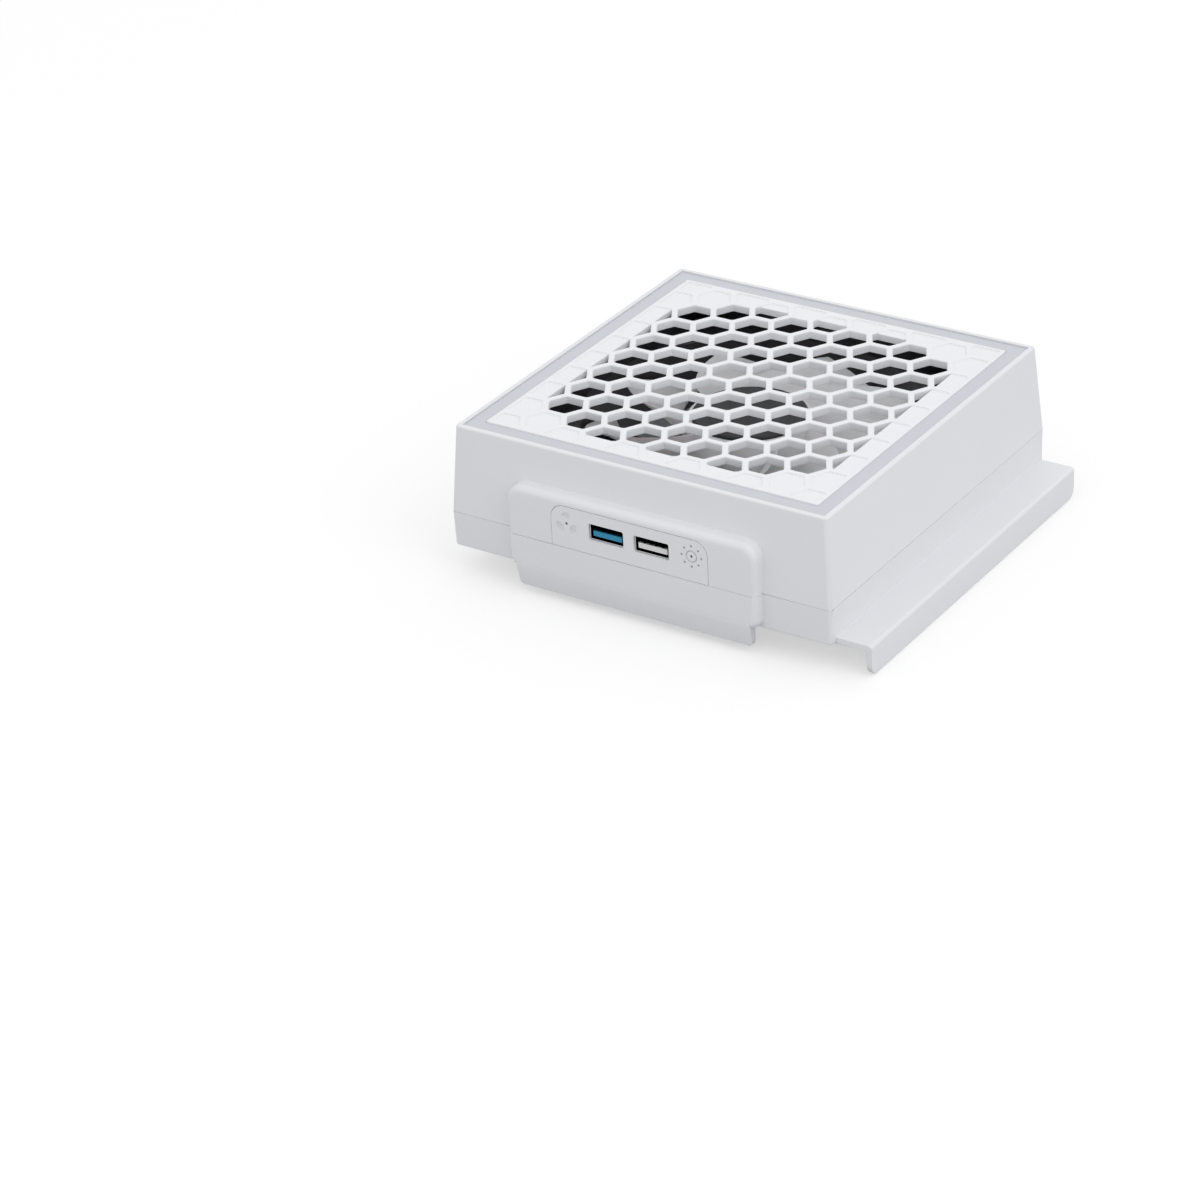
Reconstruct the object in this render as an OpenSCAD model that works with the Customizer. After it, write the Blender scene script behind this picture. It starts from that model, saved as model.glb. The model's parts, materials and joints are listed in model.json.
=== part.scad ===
// Cooling fan that sits on top of a games console and hooks over its edge.
// The underside pads lie on z = 0 and the fan turns about the z axis.
// +X is the side with the hook, -Y is the front with the two ports.

/* [Fan] */
// Side of the square fan frame
fan_size = 120; // [110:1:130]
// Height of the fan frame
fan_h = 25; // [24:1:30]
// How far the frame's screw holes lie in from its sides
fan_hole_inset = 7.5; // [6.5:0.5:9]
// Thickness of the frame's two end flanges
flange_t = 4; // [3:0.5:6]
// Plan radius of the frame's corners
fan_corner_r = 7; // [4:0.5:8]
// Distance from the frame's side to the bore of its duct
duct_edge = 2.8; // [2:0.2:5]
// Wall of the duct tube between the flanges
duct_wall = 2.4; // [1.6:0.2:2.8]
// Gap between the blade tips and the duct
tip_gap = 1.6; // [1:0.2:4]
// Number of blades
blade_count = 9; // [7:1:11]
// Thickness of a blade
blade_t = 1.4; // [1:0.1:2]
// Radius of the rotor's hub
hub_r = 19.8; // [19:0.2:24]

/* [Motor] */
// Diameter of the rotor's shaft
shaft_d = 3; // [2.5:0.1:4]
// Outer diameter of the sleeve bearing
bearing_d = 6.5; // [5.5:0.1:7]
// Length of the sleeve bearing
bearing_len = 12.6; // [9:0.2:13]
// Wall of the tube that holds the bearing
tube_wall = 1.25; // [1:0.05:1.6]
// Radial thickness of the magnet ring
magnet_t = 1.9; // [1.4:0.1:2.6]
// Height of the stator's iron core
core_h = 8; // [6:0.5:9]

/* [Casing] */
// Room between the fan and each side of the casing at the parting line
side_room = 13.2; // [12.5:0.1:20]
// Room between the fan and the casing's front and back at the parting line
end_room = 12.8; // [11.5:0.1:18]
// Height of the casing from its underside to the rim
case_h = 44.2; // [43:0.2:60]
// Height of the lower shell, up to the parting line
lower_h = 12.7; // [11:0.1:15]
// How far each wall leans in from the parting line to the rim
upper_lean = 2.2; // [0.4:0.1:2.4]
// How far each wall leans in from the parting line to the underside
lower_lean = 0.2; // [0.2:0.1:1.4]
// Wall thickness of both shells
wall = 2; // [1.6:0.1:2.4]
// Thickness of the lower shell's floor
floor_t = 2; // [1.6:0.1:3]
// Plan radius of the casing's corners
corner_r = 1.6; // [0.8:0.1:4]
// Radius along the rim and the lower edge
edge_r = 0.6; // [0.3:0.1:1]
// Height of the foam seal between the fan and the honeycomb plate
seal_h = 6.4; // [5:0.2:8]
// Width of the groove along the parting line
seam_w = 0.2; // [0.1:0.1:0.8]

/* [Top] */
// Width of the white rim round the light ring
rim_t = 1.8; // [1.2:0.1:2.5]
// Width of the light ring
ring_w = 5.6; // [5:0.1:8]
// How far the light ring lies below the rim
ring_drop = 0.5; // [0.2:0.1:1]
// Thickness of the honeycomb plate
grille_t = 2.8; // [2.2:0.1:3.4]
// Side of the square field of open cells
vent_w = 111; // [96:1:113]
// Distance between the middles of neighbouring cells
cell_pitch = 13.5; // [9:0.5:18]
// Wall between open cells
cell_wall = 2.2; // [1.4:0.1:4]
// Depth of the light ring's trough, below the ring
trough_h = 4.4; // [3.6:0.2:6]

/* [Front boss] */
// Width of the boss
boss_w = 96; // [84:1:110]
// How far the boss stands proud of the wall at the parting line
boss_proud = 3.8; // [3:0.2:8]
// Height of the boss's top above the casing's underside
boss_h = 31; // [30:0.2:34]
// Radius of the boss's upper corners, seen from the front
boss_top_r = 6; // [3:0.5:9]
// Radius of the boss's lower corners, seen from the front
boss_low_r = 3.5; // [1:0.5:4]
// Radius along the boss's front edge
boss_edge_r = 2.4; // [1:0.2:3]
// Width of the lip that hangs from the boss
lip_w = 90; // [60:1:92]
// How far the lip hangs below the casing's underside
lip_drop = 6.5; // [5:0.5:12]
// Thickness of the front lip and of the side hook
lip_t = 2; // [1.6:0.1:3]

/* [Side hook] */
// How far the hook stands out from the side wall at the parting line
hook_reach = 13; // [8:0.2:20]
// Length of the hook along the side
hook_len = 140; // [80:1:142]
// How far the hook hangs below the casing's underside
hook_drop = 9.4; // [7:0.2:16]
// Radius of the hook's lower corners, seen from the side
hook_corner_r = 4.5; // [2:0.5:6]

/* [Control panel] */
// Width of the panel
panel_w = 60; // [58:1:76]
// Height of the panel's top above the casing's underside
panel_top = 28; // [27.4:0.2:28.4]
// Radius of the panel's upper corners
panel_r = 5; // [2:0.5:6]
// Thickness of the panel
panel_t = 1.6; // [1.2:0.1:2]
// Ledge that the panel rests on, and its thickness
ledge = 0.8; // [0.6:0.1:1.2]
// Distance from the panel's side to the middle of each touch symbol
symbol_in = 6; // [5.5:0.5:8]
// Depth of the symbols' pockets
symbol_t = 0.6; // [0.5:0.1:1]

/* [Ports] */
// Distance between the middles of the two ports
port_pitch = 17.4; // [15:0.2:20]
// Height of the ports' middle above the casing's underside
port_h = 21.1; // [20:0.1:22]
// Width of a port's metal shell
shell_w = 13.1; // [12.9:0.1:13.3]
// Height of a port's metal shell
shell_h = 5.7; // [5.5:0.1:5.9]
// Length of a port's metal shell
shell_len = 13; // [12:0.2:13.6]
// Sheet thickness of the shells
shell_t = 0.3; // [0.2:0.05:0.4]
// Distance from the middle of the back wall to the power inlet
inlet_x = 35; // [0:1:36]
// Width of the power inlet's shell
inlet_w = 8.94; // [8.8:0.02:9]
// Height of the power inlet's shell
inlet_h = 3.26; // [3.2:0.02:3.4]

/* [Fasteners and pads] */
// Diameter of the casing screws
case_screw_d = 2.9; // [2.5:0.1:3.2]
// Diameter of the fan screws
fan_screw_d = 4.2; // [3.8:0.1:4.6]
// Diameter of the board screws
board_screw_d = 1.6; // [1.4:0.1:2]
// How far the casing screws lie in from the sides at the parting line
post_inset = 7; // [6.8:0.1:8]
// Diameter of the underside pads
pad_d = 10; // [7:0.5:12]
// How far the pads stand proud of the underside
pad_proud = 0.6; // [0.3:0.1:1]

/* [Fits] */
// Gap round the panel, the ring, the plate and the port shells
panel_gap = 0.15; // [0.1:0.05:0.3]
// Gap between pieces that are pushed together
push_fit = 0.02; // [0.01:0.01:0.05]
// Radial gap between the shaft and its bearing
running_fit = 0.03; // [0.02:0.01:0.08]
// Radial gap between a screw and its hole
screw_gap = 0.1; // [0.05:0.05:0.3]

/* [Hidden] */

$fn = 64;
// A small overlap for cuts that have to pass a face
cut = 1;
// Straight steps in a lofted quarter circle
arc_steps = 6;
// Least radius that an inset corner keeps
least_r = 0.4;

// Casing: overall sizes and levels
case_w = fan_size + 2 * side_room;
case_d = fan_size + 2 * end_room;
z_base = pad_proud;
z_floor = z_base + floor_t;
z_part = z_base + lower_h;
z_rim = z_base + case_h;

// Top: the plate and the ring share one seat, with the trough below the ring
z_seat = z_rim - grille_t;
z_trough = z_seat - trough_h;
trough_floor_t = 1.6;
deck_t = 2;
z_fan = z_seat - seal_h - fan_h;
seat_step = 1;
rim_x = case_w / 2 - upper_lean - rim_t;
rim_y = case_d / 2 - upper_lean - rim_t;
plate_x = rim_x - ring_w;
plate_y = rim_y - ring_w;
vent_reveal = 4;
seat_w = 4;
vent_half = min(vent_w / 2 + vent_reveal, min(plate_x, plate_y) - seat_w);
light_x = rim_x - seat_step - ring_w / 2;
light_y = rim_y - seat_step - ring_w / 2;
led_board_t = 1;
led_board_w = ring_w - 4 * panel_gap;
led_size = 3.5;
led_t = 1.5;
led_pitch = 18;
led_count = 7;

// Honeycomb lattice with cell edges along x
cell_step_x = cell_pitch * sqrt(3) / 2;
cell_cols = ceil(plate_x / cell_step_x);
cell_rows = ceil(plate_y / cell_pitch);
// The open cells reach this many rows from the middle, with the field's corners left closed
open_rows = floor(vent_w / 2 / cell_pitch);
open_reach = open_rows + 1;
// Depth of the closed cells, and how far they stay in from the plate's edge
recess_t = 0.4;
plate_edge = 1.3;

// Front boss and panel
y_face = -(case_d / 2 + boss_proud);
boss_wall = panel_t + ledge;
boss_lift = 0.3;
z_boss_low = z_base + boss_lift;
z_boss_top = z_base + boss_h;
boss_root = 2;
y_boss_root = -(case_d / 2 - wall - boss_root);
// The lip grows out of the boss's rounded lower edge and rakes back below it
lip_root = 2.1;
lip_rake = 1.6;
lip_corner_r = 1.5;
y_lip = y_face + lip_rake + lip_t;
ledge_w = 1.6;
z_panel_top = z_base + panel_top;
rib_h = 1.5;

// Tongue on the lower shell that locates the upper one
tongue_wall = 0.95;
tongue_h = 1.6;
tongue_root = 2.4;

// Side hook
hook_x = case_w / 2 + hook_reach;
hook_edge_r = 1.2;
z_hook_top = z_base + lip_t;

// Ports, boards and their posts
z_port = z_base + port_h;
symbol_x = panel_w / 2 - symbol_in;
symbol_rise = 0.8;
symbol_dip = 0.3;
symbol_dot_r = 0.5;
petal_x = 2.9;
petal_r = 1.95;
petal_bulge = 0.75;
sun_r = 2.2;
sun_line = 0.5;
ray_x = 3.7;
ray_r = 0.4;
z_symbols = z_port + symbol_rise;
port_recess = 0.6;
shell_r = 0.6;
z_board = z_port - shell_h / 2;
board_t = 1.2;
touch_board_t = 1;
touch_margin = 0.6;
y_touch = y_face + boss_wall;
y_board_front = y_touch + touch_board_t;
board_fan_gap = 1.2;
y_board_back = -(fan_size / 2 + board_fan_gap);
touch_overlap = 1.5;
touch_board_w = panel_w - 2 * ledge_w + 2 * touch_overlap;
touch_pad_r = 4;
tongue_w = 11.1;
tongue_t = 1.9;
tongue_recess = 0.4;
tongue_drop = 0.7;
port_block = 4;
contact_t = 0.15;
contact_x = [-3.5, -1, 1, 3.5];
contact_w = 1.1;
front_contact_x = [-4, -2, 0, 2, 4];
front_contact_w = 0.8;
front_contact_y = 0.8;
front_contact_len = 1.6;
rear_contact_y = 3.4;
rear_contact_len = 4;
long_contact_len = 6;
socket_size = [5, 4.6, 4.5];
socket_margin = [0.6, 0.5];
socket_gap = 1.5;
socket_port_gap = 1.85;
socket_y = y_board_back - socket_size.y / 2 - socket_margin.y;
inner_socket_x = port_pitch / 2 + shell_w / 2 + socket_port_gap + socket_size.x / 2;
socket_x = inner_socket_x + socket_size.x + socket_gap;
board_w = 2 * (socket_x + socket_size.x / 2 + socket_margin.x);
chip_size = [4.4, 3.8, 1.5];
coil_size = [4, 3.6, 2];
cap_size = [1.6, 2.4, 1];
cap_spread = 1.5;
part_gap = 1;
board_post_r = 2.6;
board_post_gap = [0.2, 0.3];
board_post_x = port_pitch / 2 + shell_w / 2 + board_post_r + board_post_gap.x;
board_post_y = y_board_front + board_post_r + board_post_gap.y;
board_head_d = 3.6;
board_head_t = 1.3;
board_screw_len = 6;

// Power inlet at the back
inlet_fan_gap = 0.8;
inlet_wall_gap = 0.4;
inlet_board = [19, end_room - wall - lower_lean - inlet_fan_gap - inlet_wall_gap, 1];
inlet_post_h = 1.6;
inlet_post_r = 2;
inlet_block = 1.6;
z_inlet_board = z_floor + inlet_post_h;
z_inlet = z_inlet_board + inlet_board.z + inlet_h / 2;
y_inlet_board = fan_size / 2 + inlet_fan_gap;
inlet_recess = 0.3;
y_inlet_mouth = case_d / 2 - lean(z_inlet) - inlet_recess;
inlet_len = 7.3;
// Straight stretch at each end of the inlet's outline
inlet_flat = 0.1;
inlet_screw_gap = [1, 0.2];
inlet_screw_x = inlet_w / 2 + inlet_post_r + inlet_screw_gap.x;
inlet_screw_y = y_inlet_board + inlet_post_r + inlet_screw_gap.y;
inlet_tongue_size = [6.7, 4.6, 0.7];

// Fan and motor levels, measured from the frame's underside
duct_r = fan_size / 2 - duct_edge;
tip_r = duct_r - tip_gap;
hole_xy = fan_size / 2 - fan_hole_inset;
collar_t = 2;
seal_in = 0.5;
seal_t = 3;
base_t = 2;
base_reach = 1.2;
base_r = hub_r + base_reach;
base_rim_t = 1.4;
base_rim_h = 4;
strut_w = 5;
strut_h = 3;
tube_r = bearing_d / 2 + push_fit + tube_wall;
cap_t = 1.2;
clip_t = 0.5;
clip_gap = 0.2;
shaft_end_gap = 0.5;
clip_rise = 1.3;
clip_bite = 0.35;
clip_side_gap = 0.6;
z_clip = z_fan + cap_t + clip_rise;
z_bearing = z_clip + clip_t + clip_gap;
z_bearing_top = z_bearing + bearing_len;
thrust_gap = 0.3;
motor_board_t = 1.2;
motor_board_gap = 0.3;
hub_rise = 6;
hub_drop = 0.6;
z_hub_low = z_fan + hub_rise;
z_hub_top = z_fan + fan_h - hub_drop;
hub_wall = 1.4;
hub_top_t = 1.8;
hub_boss_r = 4;
sleeve_t = 1.6;
sleeve_drop = 1.2;
yoke_t = 0.8;
yoke_rise = 1;
yoke_r = hub_r - hub_wall - push_fit;
magnet_r = yoke_r - yoke_t - push_fit;
air_gap = 0.6;
core_r = magnet_r - magnet_t - air_gap;
neck_w = 4;
shoe_t = 2;
shoe_angle = 70;
core_ring_t = 3;
core_rise = 8;
z_core = z_fan + core_rise;
coil_wall = 2;
coil_gap = 0.3;
magnet_below = 1;
magnet_above = 3;
shaft_depth = 0.8;
lead_slot_w = 3.4;
lead_slot_in = 3;

// Blades: rings of points from the hub to the tip
blade_rings = 7;
blade_points = 8;
// Angle of the first blade's root, and the angles that a blade spans at its root and at its tip
blade_turn = 35;
blade_span = [26, 34];
blade_sweep = 40;
// Share of a blade's rise that curls, and of its thickness that is left at its edges
blade_curl = 0.2;
blade_edge = 0.15;
// How far a blade stays in from the hub's lower and upper ends, at its root and at its tip
blade_root_in = [1, 1.4];
blade_tip_in = [2.5, 4];
blade_root_z = [z_hub_low + blade_root_in[0], z_hub_top - blade_root_in[1]];
blade_tip_z = [z_hub_low + blade_tip_in[0], z_hub_top - blade_tip_in[1]];

// Screws and pads
post_x = case_w / 2 - post_inset;
post_y = case_d / 2 - post_inset;
post_r = 3.6;
case_head_d = 5.6;
case_head_t = 2.2;
case_head_depth = 5;
case_screw_len = 18;
fan_head_d = 7.2;
fan_head_t = 1.4;
fan_head_depth = 1.6;
fan_post_r = 4.8;
pad_seat = 1;
pad_x = fan_size / 2;
pad_in = 18;
pad_y = fan_size / 2 - pad_in;
drive_w = 0.9;
drive_share = 0.6;
fan_screw_past = 3;
fan_screw_len = z_fan + flange_t + fan_screw_past - z_base - fan_head_depth;
screw_end_gap = 0.5;

// Leads inside the casing, along points chosen by hand
fan_lead_d = 1.8;
led_lead_d = 1.6;
power_lead_d = 2.2;
lead_sides = 8;
lead_parts = 3;
// A direction that no stretch of a lead follows
lead_up = [0.62, 0.48, 0.62];
z_socket = z_board + socket_size.z;
fan_lead_x = strut_w / 2 + fan_lead_d / 2 + panel_gap;
z_notch = z_fan + base_t + motor_board_t;
z_lead = z_notch + fan_lead_d / 2 + push_fit;
fan_lead_path = [
    [fan_lead_x, -17, z_lead], [fan_lead_x, -20.5, z_lead], [fan_lead_x, -24, z_fan + 2.9],
    [fan_lead_x, -28, z_fan + 2], [fan_lead_x, -44, z_fan + 2], [fan_lead_x, -58, z_fan + 2],
    [5, -61.5, z_fan + 2.4],
    [11, -63, z_fan + 3], [22, -63.2, z_fan + 4], [30, -64, z_fan + 6], [33, -64, z_fan + 9],
    [33.4, -64, z_fan + 13], [32.4, -64, 27.5], [29.5, -64, 29.2], [26.8, -64, 27.8],
    [socket_x, socket_y, 25.4], [socket_x, socket_y, z_socket]
];
led_lead_path = [
    [inner_socket_x, -light_y, z_trough], [inner_socket_x, -light_y, z_trough - 3.6],
    [inner_socket_x, -64.6, 30], [inner_socket_x, socket_y, 26], [inner_socket_x, socket_y, z_socket]
];
power_lead_path = [
    [-inlet_x - inlet_board.x / 2, 65, 4.7], [-48, 65, 4.6], [-54, 64.4, 4.2], [-59.5, 61.5, 3.9],
    [-63.2, 56.5, 3.9], [-64.6, 50, 3.9], [-65, 40, 3.9], [-65, 14, 3.9], [-65, -14, 3.9],
    [-65, -40, 3.9], [-64.6, -50, 3.9], [-63, -56.5, 4], [-59, -61.5, 4.6], [-53, -64, 6],
    [-45, -64.4, 9], [-37, -64.2, 14], [-33.4, -64, 20], [-32, -64, 26], [-29.4, -64, 28.8],
    [-26.8, -64, 27.8], [-socket_x, socket_y, 25.4], [-socket_x, socket_y, z_socket]
];

// How far the wall stands in from the parting line at a height
function lean(z) =
    z < z_part ? lower_lean * (z_part - z) / lower_h : upper_lean * (z - z_part) / (z_rim - z_part);

// A quarter circle of points about a middle, from a start angle
function quarter(x, y, r, a0) =
    [for (k = [0 : arc_steps]) let (a = a0 + 90 * k / arc_steps) [x + r * cos(a), y + r * sin(a)]];

// A rectangle with rounded corners, counterclockwise, with its own radius above and below
function round_box(x, y0, y1, r_low, r_high) = concat(
    quarter(x - r_high, y1 - r_high, r_high, 0),
    quarter(-x + r_high, y1 - r_high, r_high, 90),
    quarter(-x + r_low, y0 + r_low, r_low, 180),
    quarter(x - r_low, y0 + r_low, r_low, 270)
);

function level(ring, z) = [for (p = ring) [p.x, p.y, z]];
function upright(ring, y) = [for (p = ring) [p.x, y, p.y]];

// The casing's outline at a height, moved in by an inset
function case_ring(inset, z) =
    let (
        x = case_w / 2 - lean(z) - inset,
        y = case_d / 2 - lean(z) - inset,
        r = max(corner_r - inset, least_r)
    )
    level(round_box(x, -y, y, r, r), z);

// The boss's outline seen from the front, moved in by an inset
function boss_ring(inset, y) = upright(
    round_box(
        boss_w / 2 - inset, z_boss_low + inset, z_boss_top - inset,
        max(boss_low_r - inset, least_r), max(boss_top_r - inset, least_r)
    ), y
);

// Points along a smooth curve through a list of points
function path_point(p, i, t) =
    let (a = p[max(i - 1, 0)], b = p[i], c = p[i + 1], d = p[min(i + 2, len(p) - 1)])
    b + ((c - a) * t + (2 * a - 5 * b + 4 * c - d) * t * t + (3 * b - a - 3 * c + d) * t * t * t) / 2;
function smooth_path(p) = concat(
    [for (i = [0 : len(p) - 2]) for (k = [0 : lead_parts - 1]) path_point(p, i, k / lead_parts)],
    [p[len(p) - 1]]
);
function unit(v) = v / norm(v);

// A closed solid through rings of points, each counterclockwise seen from the last one
module loft(rings) {
    n = len(rings[0]);
    last = (len(rings) - 1) * n;
    sides = [
        for (i = [0 : len(rings) - 2]) for (j = [0 : n - 1])
            let (a = i * n + j, b = i * n + (j + 1) % n)
            each [[a, a + n, b + n], [a, b + n, b]]
    ];
    caps = [
        for (j = [0 : n / 2 - 2])
            each [
                [j, j + 1, n - 2 - j],
                [j, n - 2 - j, n - 1 - j],
                [last + n - 1 - j, last + n - 2 - j, last + j + 1],
                [last + n - 1 - j, last + j + 1, last + j]
            ]
    ];
    polyhedron(points = [for (r = rings) each r], faces = concat(sides, caps), convexity = 6);
}

// A round lead along a path
module lead(points, d) {
    p = smooth_path(points);
    n = len(p);
    loft([
        for (i = [0 : n - 1])
            let (
                t = unit(p[min(i + 1, n - 1)] - p[max(i - 1, 0)]),
                u = unit(cross(t, lead_up)),
                v = cross(t, u)
            )
            [for (k = [0 : lead_sides - 1])
                p[i] + d / 2 * (cos(360 * k / lead_sides) * u + sin(360 * k / lead_sides) * v)]
    ]);
}

// A rectangle with true round corners
module round_rect(w, h, r) {
    square([w - 2 * r, h], center = true);
    square([w, h - 2 * r], center = true);
    for (x = [-1, 1], y = [-1, 1])
        translate([x * (w / 2 - r), y * (h / 2 - r)])
            circle(r);
}

// A flat square frame between two half sizes
module square_ring(x_out, y_out, x_in, y_in, h) {
    linear_extrude(h)
        difference() {
            square([2 * x_out, 2 * y_out], center = true);
            square([2 * x_in, 2 * y_in], center = true);
        }
}

module tube(r_out, r_in, h) {
    difference() {
        cylinder(r = r_out, h = h);
        translate([0, 0, -cut])
            cylinder(r = r_in, h = h + 2 * cut);
    }
}

// Places a child at the four casing screws, the four fan screws, the pads or the board posts
module at_corners(x, y) {
    for (sx = [-1, 1], sy = [-1, 1])
        translate([sx * x, sy * y, 0])
            children();
}
module at_board_posts() {
    for (s = [-1, 1])
        translate([s * board_post_x, board_post_y, 0])
            children();
}
module at_inlet_posts() {
    for (s = [-1, 1])
        translate([-inlet_x + s * inlet_screw_x, inlet_screw_y, 0])
            children();
}

// A pan head screw pointing up from z = 0, with a cross recess in its head
module screw(d, len, head_d, head_t) {
    difference() {
        union() {
            cylinder(d = head_d, h = head_t);
            cylinder(d = d, h = head_t + len);
        }
        for (a = [0, 90])
            rotate(a)
                translate([-head_d * drive_share / 2, -drive_w / 2, -cut])
                    cube([head_d * drive_share, drive_w, cut + head_t / 2]);
    }
}

// Everything above or below the parting line
module above_part() {
    translate([-case_w, -case_d, z_part])
        cube([2 * case_w, 2 * case_d, 2 * case_h]);
}
module below_part() {
    translate([-case_w, -case_d, z_part - 2 * case_h])
        cube([2 * case_w, 2 * case_d, 2 * case_h]);
}

// The shallow groove where the two shells meet
module seam_groove() {
    translate([0, 0, z_part - seam_w / 2])
        linear_extrude(seam_w)
            difference() {
                square([case_w + 4 * seam_w, case_d + 4 * boss_proud], center = true);
                square([case_w - 2 * seam_w, case_d - 2 * seam_w], center = true);
                translate([0, (y_face + seam_w) / 2])
                    square([boss_w - 2 * seam_w, -y_face - seam_w], center = true);
            }
}

// The boss as one solid and its hollow
module boss_body() {
    loft(concat(
        [boss_ring(0, y_boss_root)],
        [for (a = [0 : 15 : 90])
            boss_ring(boss_edge_r * (1 - cos(a)), y_face + boss_edge_r * (1 - sin(a)))]
    ));
}
module boss_hollow() {
    loft([boss_ring(boss_wall, y_boss_root + cut), boss_ring(boss_wall, y_face + boss_wall)]);
}

// The panel's outline seen from the front, grown by a gap, as a slab between two depths
module panel_slab(grow, y0, y1) {
    w = panel_w + 2 * grow;
    r = panel_r + grow;
    top = z_panel_top + grow;
    translate([0, y1, 0])
        rotate([90, 0, 0])
            linear_extrude(y1 - y0)
                difference() {
                    translate([0, (top + z_base) / 2])
                        round_rect(w, top - z_base, r);
                    translate([-w, z_base - cut])
                        square([2 * w, z_part - z_base + cut]);
                }
}

// One port's outline as a slab between two depths
module port_slab(side, grow, y0, y1) {
    translate([side * port_pitch / 2, y1, z_port])
        rotate([90, 0, 0])
            linear_extrude(y1 - y0)
                round_rect(shell_w + 2 * grow, shell_h + 2 * grow, shell_r + grow);
}

module hook() {
    x_root = case_w / 2 - lower_lean - wall / 2;
    intersection() {
        translate([0, hook_len / 2, 0])
            rotate([90, 0, 0])
                linear_extrude(hook_len)
                    difference() {
                        union() {
                            translate([x_root, z_base])
                                square([hook_x - x_root, lip_t]);
                            translate([hook_x - lip_t, z_base - hook_drop + lip_t / 2])
                                square([lip_t, hook_drop]);
                            translate([hook_x - lip_t / 2, z_base - hook_drop + lip_t / 2])
                                circle(lip_t / 2);
                        }
                        difference() {
                            translate([hook_x - hook_edge_r, z_hook_top - hook_edge_r])
                                square(hook_edge_r + cut);
                            translate([hook_x - hook_edge_r, z_hook_top - hook_edge_r])
                                circle(hook_edge_r);
                        }
                    }
        translate([x_root - cut, 0, z_hook_top + hook_corner_r - (hook_drop + lip_t + hook_corner_r) / 2])
            rotate([90, 0, 90])
                linear_extrude(hook_x - x_root + 2 * cut)
                    round_rect(hook_len, hook_drop + lip_t + hook_corner_r, hook_corner_r);
    }
}

module front_lip() {
    z_low = z_base - lip_drop;
    z_high = z_boss_low + lip_root;
    y_wall = -(case_d / 2 - lower_lean - wall / 2);
    intersection() {
        translate([-lip_w / 2, 0, 0])
            rotate([90, 0, 90])
                linear_extrude(lip_w)
                    polygon([
                        [y_face, z_high], [y_face, z_boss_low], [y_face + lip_rake, z_low],
                        [y_lip, z_low], [y_lip, z_base], [y_wall, z_base], [y_wall, z_high]
                    ]);
        translate([0, y_wall + cut, (z_low + z_high + lip_corner_r) / 2])
            rotate([90, 0, 0])
                linear_extrude(y_wall - y_face + 2 * cut)
                    round_rect(lip_w, z_high + lip_corner_r - z_low, lip_corner_r);
    }
}

// The tongue on the lower shell that locates the upper one
module locating_tongue() {
    outer = wall + panel_gap;
    inner = outer + tongue_wall;
    boss_gap = boss_w - 2 * boss_wall;
    difference() {
        union() {
            loft([case_ring(wall / 2, z_part - tongue_root), case_ring(wall / 2, z_part - seam_w)]);
            loft([case_ring(outer, z_part - tongue_root), case_ring(outer, z_part + tongue_h)]);
        }
        loft([case_ring(inner, z_part - tongue_root - cut), case_ring(inner, z_part + tongue_h + cut)]);
        translate([-boss_gap / 2, -case_d, z_base])
            cube([boss_gap, case_d / 2, case_h]);
    }
}

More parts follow.
